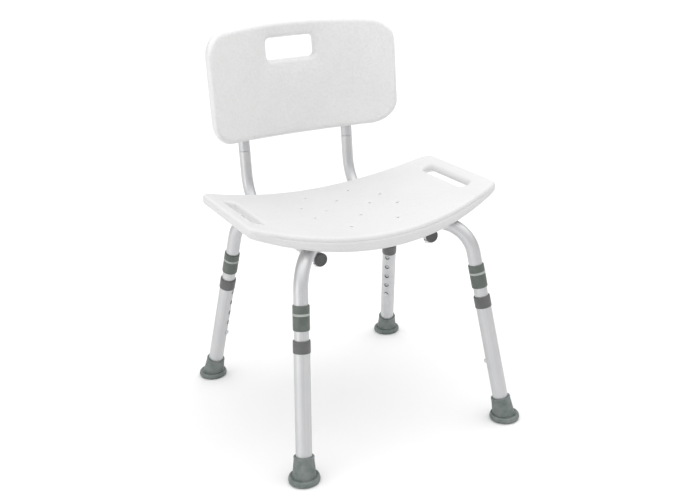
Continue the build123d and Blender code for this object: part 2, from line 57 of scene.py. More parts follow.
SEAT_W, SEAT_Z, SEAT_RISE = 248.0, 400.5, 42.7
SEAT_T, SEAT_T_END = 28.4, 19.5
SEAT_FRONT, SEAT_FRONT_BOW, SEAT_BACK, SEAT_BACK_BOW = -180.8, 41.9, 136.8, 34.5
SEAT_CORNERS = (17.0, 34.0)
SEAT_R = (SEAT_W ** 2 + SEAT_RISE ** 2) / (2 * SEAT_RISE)
UNDER_RISE = SEAT_RISE + SEAT_T - SEAT_T_END
UNDER_R = (SEAT_W ** 2 + UNDER_RISE ** 2) / (2 * UNDER_RISE)
SLOT_X, SLOT_Y, SLOT_W, SLOT_L = 208.5, -20.5, 17.0, 145.0
DRAINS = [(0, 34), (0, -65), (46, 77), (-46, 77), (45, -14), (-45, -14), (47, -118), (-47, -118),
          (83, 14), (-83, 14), (85, -50), (-85, -50)]

BT_X, BT_Z, BT_BEND, BT_FRONT, BT_JOINT_Z = 113.0, 355.4, 80.0, -126.0, 477.0
BT_SLOPE, BT_Y450, POST_TOP_Z = 0.0582, 204.85, 648.0

BACK_W, BACK_H, BACK_ARCH, BACK_SAG, BACK_BOW, BACK_T = 195.5, 223.4, 10.3, 9.0, 78.0, 24.0
BACK_R = (BACK_W ** 2 + BACK_BOW ** 2) / (2 * BACK_BOW)
BACK_CORNERS = (49.6, 45.2)
GRIP_W, GRIP_H, GRIP_R, GRIP_V = 103.0, 43.1, 9.5, 171.0

LEGS = {"front_left": (-1, -1), "front_right": (1, -1), "rear_left": (-1, 1), "rear_right": (1, 1)}
UP = Vector((0, BT_SLOPE, 1)).normalized()
V_DIR = UP.copy()
W_DIR = Vector((0, V_DIR.z, -V_DIR.y))
PANEL_O = Vector((0, 201.6, 496.6))


def leg_dir(sx, sy):
    return Vector((-sx * LEAN_X, -sy * (LEAN_FRONT if sy < 0 else LEAN_REAR), 300)).normalized()


def leg_point(sx, sy, t):
    return Vector((sx * FOOT_X, sy * FOOT_Y, 0)) + leg_dir(sx, sy) * t


def leg_frame(sx, sy):
    # rows n, m, d: n faces the middle of the chair, d runs up the leg
    d = leg_dir(sx, sy)
    h = Vector((-sx, -sy, 0)).normalized()
    n = (h - d * h.dot(d)).normalized()
    return n, d.cross(n), d


def arm_corner(sx, sy):
    return leg_point(sx, sy, ARM_Z / leg_dir(sx, sy).z)


def arm_heading(sx, sy):
    a = math.radians(ARM_HEADING)
    return Vector((-sx * math.cos(a), -sy * math.sin(a), 0))


def arm_at_x(sx, sy, x):
    c, h = arm_corner(sx, sy), arm_heading(sx, sy)
    return c + h * ((abs(c.x) - x) / abs(h.x))


def bt_point(side, z):
    return Vector((side * BT_X, BT_Y450 + BT_SLOPE * (z - 450), z))


# ------------------------------------------------------------------ mesh helpers
def make(name, verts, faces, body, nodes, mat, sharp=38.0, uvs=None):
    me = bpy.data.meshes.new(name)
    me.from_pydata([tuple(c * MM for c in v) for v in verts], [], faces)
    if uvs is not None:
        layer = me.uv_layers.new(name="along")
        for i, uv in enumerate(uvs):
            layer.data[i].uv = uv
    bm = bmesh.new()
    bm.from_mesh(me)
    bmesh.ops.recalc_face_normals(bm, faces=bm.faces)
    bm.to_mesh(me)
    bm.free()
    me.shade_smooth()
    me.set_sharp_from_angle(angle=math.radians(sharp))
    ob = bpy.data.objects.new(name, me)
    bpy.context.scene.collection.objects.link(ob)
    me.materials.append(mat)
    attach(ob, body)
    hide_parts(*nodes)
    return ob


def bridge(faces, a, b):
    # quads between two closed loops of vertex indices
    n = len(a)
    for i in range(n):
        j = (i + 1) % n
        faces.append((a[i], a[j], b[j], b[i]))


def normals_of(loop):
    p = np.array(loop)
    t = np.roll(p, -1, axis=0) - np.roll(p, 1, axis=0)
    t /= np.linalg.norm(t, axis=1)[:, None]
    return np.stack([t[:, 1], -t[:, 0]], axis=1)


def inside(points, loop):
    # which points lie within a closed polygon
    p, q = np.asarray(points), np.asarray(loop)
    a, b = q, np.roll(q, -1, axis=0)
    res = np.zeros(len(p), bool)
    for (x1, y1), (x2, y2) in zip(a, b):
        if y1 == y2:
            continue
        hit = ((y1 > p[:, 1]) != (y2 > p[:, 1])) & (p[:, 0] < (x2 - x1) * (p[:, 1] - y1) / (y2 - y1) + x1)
        res ^= hit
    return res


def far_from(points, loops, gap):
    p = np.asarray(points)
    ok = np.ones(len(p), bool)
    for loop in loops:
        q = np.asarray(loop)
        for k in range(0, len(p), 400):
            d = np.linalg.norm(p[k:k + 400, None, :] - q[None, :, :], axis=2).min(axis=1)
            ok[k:k + 400] &= d > gap
    return ok


def fill(loops, extra, keep):
    """Triangles of the region bounded by closed loops, with the extra points inside. Indices count through the loops, then the extra points."""
    pts, edges = [], []
    for loop in loops:
        s = len(pts)
        pts += [tuple(p) for p in loop]
        edges += [(s + i, s + (i + 1) % len(loop)) for i in range(len(loop))]
    pts += [tuple(p) for p in extra]
    v, _, f, origin, _, _ = delaunay_2d_cdt([Vector(p) for p in pts], edges, [], 0, 1e-5, True)
    back = [o[0] for o in origin]
    tri = [tuple(back[i] for i in face) for face in f]
    c = np.array([np.mean([pts[i] for i in t], axis=0) for t in tri])
    good = keep(c)
    return [t for t, g in zip(tri, good) if g]


def hex_grid(x0, x1, y0, y1, step):
    out, row, y = [], 0, y0
    while y <= y1:
        x = x0 + (step / 2 if row % 2 else 0)
        while x <= x1:
            out.append((x, y))
            x += step
        y += step * 0.866
        row += 1
    return np.array(out)


def arc_pts(cx, cy, r, a0, a1, n):
    return [(cx + r * math.cos(a0 + (a1 - a0) * i / n), cy + r * math.sin(a0 + (a1 - a0) * i / n)) for i in range(n)]


def bowed_outline(w, y0, bow0, y1, bow1, corners, step):
    """Closed outline, counter-clockwise from the middle of the low edge: straight sides at x = w, low and high edges bowed outwards."""
    r0, r1 = corners

    def edge(y, bow, sign, r):
        # centre and radius of an edge's arc, the fillet's centre, and the arc's angles on the right half
        if bow < 0.01:
            return None, None, (w - r, y - sign * r)
        big = (w * w + bow * bow) / (2 * bow)
        cy = y - sign * big
        fy = cy + sign * math.sqrt((big - r) ** 2 - (w - r) ** 2)
        return (0, cy), big, (w - r, fy)

    c0, big0, f0 = edge(y0, bow0, -1, r0)
    c1, big1, f1 = edge(y1, bow1, 1, r1)
    half = []
    if c0:
        a_end = math.atan2(f0[1] - c0[1], f0[0] - c0[0])
        n = max(8, int(abs(a_end + math.pi / 2) * big0 / step))
        half += arc_pts(0, c0[1], big0, -math.pi / 2, a_end, n)
        a_start = a_end
    else:
        n = max(8, int((w - r0) / step))
        half += [((w - r0) * i / n, y0) for i in range(n)]
        a_start = -math.pi / 2
    half += arc_pts(f0[0], f0[1], r0, a_start, 0, max(12, int(r0 * 1.5 / step)))
    n = max(4, int((f1[1] - f0[1]) / step))
    half += [(w, f0[1] + (f1[1] - f0[1]) * i / n) for i in range(n)]
    if c1:
        a_end = math.atan2(f1[1] - c1[1], f1[0] - c1[0])
        half += arc_pts(f1[0], f1[1], r1, 0, a_end, max(12, int(r1 * 1.5 / step)))
        n = max(8, int(abs(math.pi / 2 - a_end) * big1 / step))
        half += arc_pts(0, c1[1], big1, a_end, math.pi / 2, n)
    else:
        half += arc_pts(f1[0], f1[1], r1, 0, math.pi / 2, max(12, int(r1 * 1.5 / step)))
        n = max(8, int((w - r1) / step))
        half += [((w - r1) * (1 - i / n), y1) for i in range(n)]
    half.append((0, y1))
    left = [(-x, y) for x, y in reversed(half[1:-1])]
    return half + left


def slot_loop(cx, cy, w, h, r, step):
    pts = []
    for kx, ky, a in ((1, -1, -math.pi / 2), (1, 1, 0), (-1, 1, math.pi / 2), (-1, -1, math.pi)):
        pts += arc_pts(cx + kx * (w / 2 - r), cy + ky * (h / 2 - r), r, a, a + math.pi / 2, 8)
        ex, ey = cx + kx * (w / 2 - r) + r * math.cos(a + math.pi / 2), cy + ky * (h / 2 - r) + r * math.sin(a + math.pi / 2)
        length = (h - 2 * r) if kx * ky < 0 else (w - 2 * r)
        n = max(2, int(length / step))
        dx, dy = math.cos(a + math.pi), math.sin(a + math.pi)
        pts += [(ex + dx * length * i / n, ey + dy * length * i / n) for i in range(n)]
    return pts


def circle_loop(cx, cy, r, n):
    return arc_pts(cx, cy, r, 0, 2 * math.pi, n)


def panel(outline, rim, holes, place, step):
    """A closed moulded panel. rim is (inset, depth) pairs from the front face round the edge to the rear face.
    An inset may be a function of the outline's points.
    holes is (loop, (outset, depth) pairs). place(x, y, depth) gives the point in space."""
    verts, faces = [], []

    def ring(pts, depth):
        s = len(verts)
        verts.extend(place(x, y, depth) for x, y in pts)
        return list(range(s, s + len(pts)))

    first, last, first_pts, last_pts = [], [], [], []
    for loop, profile, sign in [(outline, rim, -1)] + [(l, p, 1) for l, p in holes]:
        base, nrm = np.array(loop), normals_of(loop)
        prev = None
        for k, (off, depth) in enumerate(profile):
            off = off(base) if callable(off) else np.full(len(base), off)
            pts = base + sign * off[:, None] * nrm
            cur = ring(pts, depth)
            if prev is not None:
                bridge(faces, prev, cur)
            if k == 0:
                first.append(cur)
                first_pts.append(pts)
            prev = cur
        last.append(prev)
        last_pts.append(pts)
    for idx, loops, depth in ((first, first_pts, rim[0][1]), (last, last_pts, rim[-1][1])):
        lo, hi = loops[0].min(axis=0), loops[0].max(axis=0)
        grid = hex_grid(lo[0], hi[0], lo[1], hi[1], step)
        ok = inside(grid, loops[0])
        for l in loops[1:]:
            ok &= ~inside(grid, l)
        ok &= far_from(grid, loops, step * 0.55)
        grid = grid[ok]

        def keep(c):
            good = inside(c, loops[0])
            for l in loops[1:]:
                good &= ~inside(c, l)
            return good
        tri = fill(loops, grid, keep)
        flat = [i for part in idx for i in part] + ring(grid, depth)
        faces += [tuple(flat[i] for i in t) for t in tri]
    return verts, faces


def lathe(profile, origin, x, y, z, seg=72, closed=True):
    """Rings of (radius, height) about an axis. A closed profile is a ring-shaped body, an open one has its ends capped."""
    verts, faces, loops = [], [], []
    for r, h in profile:
        s = len(verts)
        for j in range(seg):
            a = 2 * math.pi * j / seg
            verts.append(origin + x * (r * math.cos(a)) + y * (r * math.sin(a)) + z * h)
        loops.append(list(range(s, s + seg)))
    pairs = list(zip(loops, loops[1:]))
    if closed:
        pairs.append((loops[-1], loops[0]))
    for a, b in pairs:
        bridge(faces, a, b)
    if not closed:
        faces.append(tuple(loops[0]))
        faces.append(tuple(loops[-1]))
    return verts, faces


def join(parts):
    verts, faces = [], []
    for v, f in parts:
        s = len(verts)
        verts += v
        faces += [tuple(i + s for i in face) for face in f]
    return verts, faces


def bend_path(a, corner, b, radius, step_deg=3.0):
    """Points from a to b round a corner with a bend of that radius."""
    u, w = (a - corner).normalized(), (b - corner).normalized()
    half = u.angle(w) / 2
    cut = radius / math.tan(half)
    centre = corner + (u + w).normalized() * (radius / math.sin(half))
    p0, p1 = corner + u * cut, corner + w * cut
    r0, r1 = p0 - centre, p1 - centre
    total = r0.angle(r1)
    n = max(6, int(math.degrees(total) / step_deg))
    pts = [a + (p0 - a) * (i / 6) for i in range(6)]
    for i in range(n + 1):
        k = total * i / n
        pts.append(centre + (r0 * math.sin(total - k) + r1 * math.sin(k)) / math.sin(total))
    pts += [p1 + (b - p1) * (i / 6) for i in range(1, 7)]
    return pts


def pipe(path, ring, seg=48):
    """A hollow tube along a path. ring is the tube's radius and wall, and both ends get a small chamfer."""
    r, wall = ring
    ch = 0.5
    dirs = []
    for i in range(len(path)):
        a, b = path[max(i - 1, 0)], path[min(i + 1, len(path) - 1)]
        dirs.append((b - a).normalized())
    x = dirs[0].orthogonal().normalized()
    frames = []
    for d in dirs:
        x = (x - d * x.dot(d)).normalized()
        frames.append((x.copy(), d.cross(x), d))
    lengths = [0.0]
    for i in range(1, len(path)):
        lengths.append(lengths[-1] + (path[i] - path[i - 1]).length)
    rings = [(path[0], frames[0], r - ch, 0.0), (path[0] + dirs[0] * ch, frames[0], r, ch)]
    rings += [(path[i], frames[i], r, lengths[i]) for i in range(1, len(path) - 1)]
    rings += [(path[-1] - dirs[-1] * ch, frames[-1], r, lengths[-1] - ch), (path[-1], frames[-1], r - ch, lengths[-1])]
    rings += [(path[-1], frames[-1], r - wall, lengths[-1] + 1)]
    rings += [(path[i], frames[i], r - wall, lengths[i]) for i in range(len(path) - 2, 0, -1)]
    rings += [(path[0], frames[0], r - wall, -1)]
    verts, faces, uvs = [], [], []
    for p, (fx, fy, _), rr, _ in rings:
        for j in range(seg):
            a = 2 * math.pi * j / seg
            verts.append(p + fx * (rr * math.cos(a)) + fy * (rr * math.sin(a)))
    n = len(rings)
    for i in range(n):
        k = (i + 1) % n
        for j in range(seg):
            m = (j + 1) % seg
            faces.append((i * seg + j, i * seg + m, k * seg + m, k * seg + j))
            u0, u1 = j / seg * 2 * math.pi * r * MM, (j + 1) / seg * 2 * math.pi * r * MM
            v0, v1 = rings[i][3] * MM, rings[k][3] * MM
            uvs += [(u0, v0), (u1, v0), (u1, v1), (u0, v1)]
    return verts, faces, uvs


def drilled_tube(length, r, wall, holes, origin, x, y, z, seg=56, row=4.0):
    """A straight closed tube with holes on its +x side. holes is (height, radius)."""
    ch, hc = 0.6, 0.45
    verts, faces = [], []

    def skin(rad, inset, grow):
        cols = [-math.pi * rad + 2 * math.pi * rad * j / seg for j in range(seg + 1)]
        nrow = max(4, int((length - 2 * inset) / row))
        rows = [inset + (length - 2 * inset) * i / nrow for i in range(nrow + 1)]
        loops = []
        for t, a in holes:
            a = a + grow
            loops.append([(rad * math.asin(a * math.cos(q) / rad), t + a * math.sin(q)) for q in
                          [2 * math.pi * i / 28 for i in range(28)]])
        grid = np.array([(u, v) for v in rows for u in cols])
        ok = np.ones(len(grid), bool)
        for l in loops:
            ok &= ~inside(grid, l)
        ok &= far_from(grid, loops, 0.9) if loops else True
        grid = grid[ok]

        def keep(c):
            good = np.ones(len(c), bool)
            for l in loops:
                good &= ~inside(c, l)
            return good
        tri = fill(loops, grid, keep)
        pts = [p for l in loops for p in l] + [tuple(p) for p in grid]
        index, seen = [], {}
        for u, v in pts:
            key = (round(v, 4), "seam") if abs(abs(u) - math.pi * rad) < 1e-6 else None
            if key and key in seen:
                index.append(seen[key])
                continue
            a = u / rad
            verts.append(origin + x * (rad * math.cos(a)) + y * (rad * math.sin(a)) + z * v)
            index.append(len(verts) - 1)
            if key:
                seen[key] = index[-1]
        faces.extend(tuple(index[i] for i in t) for t in tri)
        hole_loops, s = [], 0
        for l in loops:
            hole_loops.append(index[s:s + len(l)])
            s += len(l)
        by = {}
        for i, (u, v) in enumerate(pts[s:], s):
            by.setdefault(round(v, 4), []).append((u, index[i]))
        low = [i for _, i in sorted(by[round(rows[0], 4)])][:seg]
        high = [i for _, i in sorted(by[round(rows[-1], 4)])][:seg]
        return hole_loops, low, high

    out_holes, out_low, out_high = skin(r, ch, hc)
    in_holes, in_low, in_high = skin(r - wall, 0.0, 0.0)

    def ring(rad, h):
        s = len(verts)
        for j in range(seg):
            a = -math.pi + 2 * math.pi * j / seg
            verts.append(origin + x * (rad * math.cos(a)) + y * (rad * math.sin(a)) + z * h)
        return list(range(s, s + seg))

    for low, high, h in ((out_low, in_low, 0.0), (out_high, in_high, length)):
        mid = ring(r - ch, h)
        bridge(faces, low, mid)
        bridge(faces, mid, high)
    for (t, a), o, i in zip(holes, out_holes, in_holes):
        s = len(verts)
        rad = r - hc
        for q in [2 * math.pi * k / 28 for k in range(28)]:
            b = math.asin(a * math.cos(q) / rad)
            verts.append(origin + x * (rad * math.cos(b)) + y * (rad * math.sin(b)) + z * (t + a * math.sin(q)))
        mid = list(range(s, s + 28))
        bridge(faces, o, mid)
        bridge(faces, mid, i)
    return verts, faces


# ------------------------------------------------------------------ materials
def start(name, rough, metallic=0.0, spec=None):
    m = bpy.data.materials.new(name)
    m.use_nodes = True
    nt = m.node_tree
    b = nt.nodes["Principled BSDF"]
    b.inputs["Roughness"].default_value = rough
    b.inputs["Metallic"].default_value = metallic
    if spec is not None:
        b.inputs["Specular IOR Level"].default_value = spec
    return m, nt, b


def coords(nt, source="Object", rotation=None, scale=None):
    tc = nt.nodes.new("ShaderNodeTexCoord")
    out = tc.outputs[source]
    for rot, sc in ((rotation, None), (None, scale)):
        if rot is None and sc is None:
            continue
        mp = nt.nodes.new("ShaderNodeMapping")
        if rot is not None:
            mp.inputs["Rotation"].default_value = rot
        if sc is not None:
            mp.inputs["Scale"].default_value = sc
        nt.links.new(out, mp.inputs["Vector"])
        out = mp.outputs["Vector"]
    return out


def noise(nt, vec, scale, detail=3.0, rough=0.55):
    n = nt.nodes.new("ShaderNodeTexNoise")
    n.inputs["Scale"].default_value = scale
    n.inputs["Detail"].default_value = detail
    n.inputs["Roughness"].default_value = rough
    nt.links.new(vec, n.inputs["Vector"])
    return n.outputs["Fac"]


def ramp(nt, fac, stops):
    r = nt.nodes.new("ShaderNodeValToRGB")
    els = r.color_ramp.elements
    els[0].position, els[0].color = stops[0][0], (*stops[0][1], 1)
    els[1].position, els[1].color = stops[-1][0], (*stops[-1][1], 1)
    for pos, col in stops[1:-1]:
        e = els.new(pos)
        e.color = (*col, 1)
    nt.links.new(fac, r.inputs["Fac"])
    return r.outputs["Color"]


def spread(nt, fac, lo, hi, a=0.3, b=0.7):
    m = nt.nodes.new("ShaderNodeMapRange")
    m.inputs["From Min"].default_value = a
    m.inputs["From Max"].default_value = b
    m.inputs["To Min"].default_value = lo
    m.inputs["To Max"].default_value = hi
    nt.links.new(fac, m.inputs["Value"])
    return m.outputs["Result"]


def mix(nt, fac, a, b, mode="MIX"):
    m = nt.nodes.new("ShaderNodeMix")
    m.data_type = "RGBA"
    m.blend_type = mode
    if isinstance(fac, float):
        m.inputs["Factor"].default_value = fac
    else:
        nt.links.new(fac, m.inputs["Factor"])
    nt.links.new(a, m.inputs["A"])
    nt.links.new(b, m.inputs["B"])
    return m.outputs["Result"]


def bump(nt, bsdf, height, strength, distance, after=None):
    b = nt.nodes.new("ShaderNodeBump")
    b.inputs["Strength"].default_value = strength
    b.inputs["Distance"].default_value = distance
    nt.links.new(height, b.inputs["Height"])
    if after is not None:
        nt.links.new(after, b.inputs["Normal"])
    nt.links.new(b.outputs["Normal"], bsdf.inputs["Normal"])
    return b.outputs["Normal"]


def plastic(name, dark, light, rough, pebble, depth, spec=0.5, mottle=9.0, speck=0.93, relief=0.35):
    """Moulded plastic or rubber: slow mottling, a fine pebbled skin and uneven gloss."""
    m, nt, b = start(name, rough, spec=spec)
    vec = coords(nt)
    slow = noise(nt, vec, mottle, 4.0, 0.6)
    fine = noise(nt, vec, pebble, 2.0, 0.5)
    base = ramp(nt, slow, [(0.32, dark), (0.68, light)])
    specks = ramp(nt, fine, [(0.30, (speck, speck, speck)), (0.62, (1.0, 1.0, 1.0))])
    nt.links.new(mix(nt, 1.0, base, specks, "MULTIPLY"), b.inputs["Base Color"])
    nt.links.new(spread(nt, noise(nt, vec, pebble * 0.22, 3.0), rough - 0.07, rough + 0.07), b.inputs["Roughness"])
    first = bump(nt, b, fine, relief, depth)
    bump(nt, b, noise(nt, vec, mottle * 4.5, 2.0), 0.12, depth * 2.5, first)
    return m


def aluminium(name, axes=None, tint=(0.66, 0.661, 0.666)):
    """Satin anodised tube: drawing streaks along the tube, uneven gloss. axes is the tube's frame, or None for a mesh with its own along coordinates."""
    m, nt, b = start(name, 0.34, 1.0)
    if axes is None:
        vec = coords(nt, "UV", scale=(620.0, 5.0, 1.0))
        cloud = coords(nt, "UV", scale=(14.0, 14.0, 1.0))
    else:
        rot = Matrix(axes).to_euler("XYZ")
        vec = coords(nt, "Object", rotation=rot, scale=(620.0, 620.0, 5.0))
        cloud = coords(nt, "Object", scale=(14.0, 14.0, 14.0))
    streak = noise(nt, vec, 1.0, 3.0, 0.6)
    soft = noise(nt, cloud, 1.0, 4.0, 0.6)
    lo = tuple(c * 0.86 for c in tint)
    col = ramp(nt, streak, [(0.28, lo), (0.66, tint)])
    shade = ramp(nt, soft, [(0.30, (0.94, 0.945, 0.955)), (0.70, (1.0, 1.0, 1.0))])
    nt.links.new(mix(nt, 1.0, col, shade, "MULTIPLY"), b.inputs["Base Color"])
    nt.links.new(spread(nt, streak, 0.44, 0.60), b.inputs["Roughness"])
    bump(nt, b, streak, 0.10, 0.00012)
    return m


def metal(name, lo, hi, rough, scale):
    m, nt, b = start(name, rough, 1.0)
    vec = coords(nt)
    f = noise(nt, vec, scale, 4.0, 0.6)
    nt.links.new(ramp(nt, f, [(0.3, lo), (0.7, hi)]), b.inputs["Base Color"])
    nt.links.new(spread(nt, noise(nt, vec, scale * 3, 2.0), rough - 0.08, rough + 0.1), b.inputs["Roughness"])
    bump(nt, b, f, 0.15, 0.0002)
    return m


WHITE = plastic("white_plastic", (0.650, 0.650, 0.649), (0.672, 0.672, 0.671), 0.45, 760.0, 0.00018)
BACKREST = plastic("white_pebbled_plastic", (0.718, 0.718, 0.716), (0.748, 0.748, 0.746), 0.40, 190.0, 0.0014, speck=0.958, relief=0.6)
COLLAR = plastic("collar_plastic", (0.084, 0.101, 0.087), (0.116, 0.134, 0.119), 0.42, 900.0, 0.00012, mottle=55.0)
RINGP = plastic("ring_plastic", (0.098, 0.100, 0.099), (0.126, 0.128, 0.127), 0.45, 900.0, 0.00012, mottle=55.0)
LIGHT = plastic("light_plastic", (0.33, 0.36, 0.335), (0.40, 0.425, 0.405), 0.40, 900.0, 0.0001, mottle=60.0)
RUBBER = plastic("grey_rubber", (0.112, 0.142, 0.131), (0.200, 0.219, 0.212), 0.58, 820.0, 0.0002, spec=0.45, mottle=62.0)
CAPP = plastic("cap_plastic", (0.070, 0.072, 0.072), (0.092, 0.094, 0.093), 0.48, 900.0, 0.00012, mottle=60.0)
STEEL = metal("bright_steel", (0.55, 0.555, 0.56), (0.68, 0.685, 0.69), 0.28, 180.0)
SPRING = metal("spring_steel", (0.36, 0.37, 0.385), (0.47, 0.475, 0.48), 0.36, 260.0)
BRASS = metal("brass_insert", (0.52, 0.36, 0.14), (0.66, 0.48, 0.21), 0.34, 240.0)
ALU_ALONG = aluminium("aluminium_bent")
ALU_LEG = {k: aluminium("aluminium_" + k, [list(a) for a in leg_frame(*s)]) for k, s in LEGS.items()}
# near-black finish that paints the shadow inside the adjusting holes, not a colour of the metal
HOLE_SHADE = plastic("painted_hole_shade", (0.030, 0.030, 0.031), (0.050, 0.050, 0.051), 0.60, 900.0, 0.0001, spec=0.3, mottle=60.0)
REAR = W_DIR.copy()
ALU_POST = aluminium("aluminium_post", [list(REAR), list(UP.cross(REAR)), list(UP)])

# ------------------------------------------------------------------ seat
CZ = SEAT_Z + SEAT_R
arms = []
for sx, sy in LEGS.values():
    arms.append((arm_at_x(sx, sy, ARM_END_X - 5), arm_heading(sx, sy) * -1))


def quarter(r, n, off0=0.0, depth0=0.0):
    # rounding from the face (off r, depth 0) over to the side (off 0, depth r)
    return [(off0 + r * (1 - math.sin(a)), depth0 + r * (1 - math.cos(a))) for a in
            [math.pi / 2 * i / n for i in range(n + 1)]]


def quarter_back(r, n, off0, depth1):
    # rounding from the side over to the rear face at depth1
    return [(off0 + r * (1 - math.cos(a)), depth1 - r * (1 - math.sin(a))) for a in
            [math.pi / 2 * i / n for i in range(n + 1)]]


UNDER_CZ = SEAT_Z - SEAT_T + UNDER_R
RIM_TOP, RIM_LOW = 12.6, 6.5


def seat_place(x, y, depth):
    # the top part of the rim keeps its depth from the top face, the low part its height over the underside
    top, low = CZ - math.sqrt(SEAT_R ** 2 - x * x), UNDER_CZ - math.sqrt(UNDER_R ** 2 - x * x)
    if depth <= RIM_TOP:
        z = top - depth
    elif depth >= SEAT_T - RIM_LOW:
        z = low + SEAT_T - depth
    else:
        k = (depth - RIM_TOP) / (SEAT_T - RIM_LOW - RIM_TOP)
        z = (top - RIM_TOP) * (1 - k) + (low + RIM_LOW) * k
    if depth > SEAT_T * 0.6:
        # channels for the arms in the underside
        r = TUBE_D / 2 + 0.3
        for p, h in arms:
            along = (x - p.x) * h.x + (y - p.y) * h.y
            across = abs((x - p.x) * h.y - (y - p.y) * h.x)
            if along > 0 and across < r + 1.2:
                roof = ARM_Z + math.sqrt(max(r * r - across * across, 0.0))
                k = min(1.0, max(0.0, (r + 1.2 - across) / 1.2))
                z = max(z, z + (roof - z) * k)
    return Vector((x, y, z))


def front_edge(pts):
    # 1 along the front edge, fading out towards its corners, 0 round the rest
    k = np.clip((226.0 - np.abs(pts[:, 0])) / 30.0, 0.0, 1.0)
    return np.where(pts[:, 1] < 0, k * k * (3 - 2 * k), 0.0)


def beaded(off, depth):
    # a groove with a bead below it along the front, a plain rounded edge elsewhere
    plain = 9.5 - math.sqrt(9.5 ** 2 - (9.5 - depth) ** 2) if depth < 9.5 else 0.0
    return (lambda pts: plain + (off - plain) * front_edge(pts)), depth


seat_rim = [beaded(o, d) for o, d in quarter(7.2, 10, 1.3, 0.0)]
seat_rim += [beaded(o, d) for o, d in ((1.42, 7.5), (1.66, 7.8), (1.78, 8.1), (1.7, 8.4), (1.42, 8.8), (1.05, 9.3), (0.6, 10.0), (0.25, 10.8), (0.05, 11.7), (0.0, 12.6))]
seat_rim += [(0.0, 15.0), (0.0, 18.0), (0.1, 20.6)]
seat_rim += quarter_back(6.5, 8, 0.3, SEAT_T)
seat_out = bowed_outline(SEAT_W, SEAT_FRONT, SEAT_FRONT_BOW, SEAT_BACK, SEAT_BACK_BOW, SEAT_CORNERS, 3.0)
# hand slots: rounded lip, narrowest 9 mm down, opening out to the underside
def leaning(outer, inner):
    """Outset of a slot's wall, different on the side towards the end of the seat and the side towards the middle."""
    return lambda b: outer + (inner - outer) * np.clip(0.5 + (SLOT_X - np.abs(b[:, 0])) / SLOT_W, 0.0, 1.0)


slot_lip = quarter(8.6, 12) + [(0.0, 9.0), (leaning(0.25, 0.0), 9.35), (leaning(1.0, 0.0), 9.9), (leaning(4.1, 0.15), 12.6), (leaning(5.5, 1.6), 17.0),
                               (7.3, SEAT_T - RIM_LOW), (12.6, SEAT_T - 1.6), (13.6, SEAT_T - 0.8), (14.6, SEAT_T - 0.25), (15.8, SEAT_T)]
drain_lip = quarter(2.6, 6) + [(0.0, 8.0), (0.0, 18.0)] + quarter_back(1.5, 3, 0.0, SEAT_T)
seat_holes = [(slot_loop(s * SLOT_X, SLOT_Y, SLOT_W, SLOT_L, 8.0, 3.6), slot_lip) for s in (-1, 1)]
seat_holes += [(circle_loop(x, y, 2.5, 20), drain_lip) for x, y in DRAINS]
v, f = panel(seat_out, seat_rim, seat_holes, seat_place, 4.6)
make("seat_shell", v, f, "frame", ["seat"], WHITE, 50.0)

# ------------------------------------------------------------------ backrest
POST_W = (bt_point(1, PANEL_O.z) - PANEL_O).dot(W_DIR)


def back_place(x, y, depth):
    # shallow dish in the front face round the hand slot
    far = math.hypot(max(abs(x) - GRIP_W / 2, 0.0), max(abs(y - GRIP_V) - GRIP_H / 2, 0.0))
    k = min(far / 30.0, 1.0)
    depth += 3.0 * (1.0 - k * k * (3.0 - 2.0 * k)) * (1.0 - depth / BACK_T)
    w = -BACK_R + math.sqrt((BACK_R + depth) ** 2 - x * x)
    r = BACK_D / 2 + 0.2
    for side in (-1, 1):
        s = abs(x - side * BT_X)
        if s < r + 1.5 and y < 157.5:
            k = min(1.0, (r + 1.5 - s) / 1.5) * min(1.0, (157.5 - y) / 1.5)
            groove = POST_W - math.sqrt(max(r * r - s * s, 0.0))
            if w > groove:
                w += (groove - w) * k
    return PANEL_O + Vector((x, 0, 0)) + V_DIR * y + W_DIR * w


back_rim = quarter(11.0, 11)
back_rim += [(0.0, 11.7), (0.0, 12.2), (0.35, 12.5), (0.35, 12.8), (0.0, 13.1), (0.0, 13.6)]
back_rim += quarter_back(10.0, 9, 0.0, BACK_T)
back_out = bowed_outline(BACK_W, 0.0, BACK_SAG, BACK_H, BACK_ARCH, BACK_CORNERS, 2.6)
grip_lip = quarter(9.0, 9) + [(0.0, 10.5), (0.0, 14.5)] + quarter_back(8.0, 8, 0.0, BACK_T)
v, f = panel(back_out, back_rim, [(slot_loop(0, GRIP_V, GRIP_W, GRIP_H, GRIP_R, 3.5), grip_lip)], back_place, 4.2)
make("backrest_shell", v, f, "back", ["backrest"], BACKREST, 50.0)

# ------------------------------------------------------------------ frame arms and back tubes
for k, (sx, sy) in LEGS.items():
    path = bend_path(leg_point(sx, sy, T_JOINT), arm_corner(sx, sy), arm_at_x(sx, sy, ARM_END_X), ARM_BEND)
    v, f, uv = pipe(path, (TUBE_D / 2, WALL))
    make("bent_arm_" + k, v, f, "frame", ["arm_" + k], ALU_ALONG, 30.0, uv)

for side, word in ((-1, "left"), (1, "right")):
    path = bend_path(Vector((side * BT_X, BT_FRONT, BT_Z)), bt_point(side, BT_Z), bt_point(side, BT_JOINT_Z), BT_BEND)
    v, f, uv = pipe(path, (BACK_D / 2, WALL), 44)
    make("bent_back_tube_" + word, v, f, "frame", ["back_tube_" + word], ALU_ALONG, 30.0, uv)
    p = bt_point(side, BT_JOINT_Z)
    length = (bt_point(side, POST_TOP_Z) - p).length
    v, f = drilled_tube(length, BACK_D / 2, WALL, [(15.8, 3.6)], p + UP * 0.2, REAR, UP.cross(REAR), UP, 44)
    make("upright_" + word, v, f, "back", ["back_post_" + word], ALU_POST, 30.0)

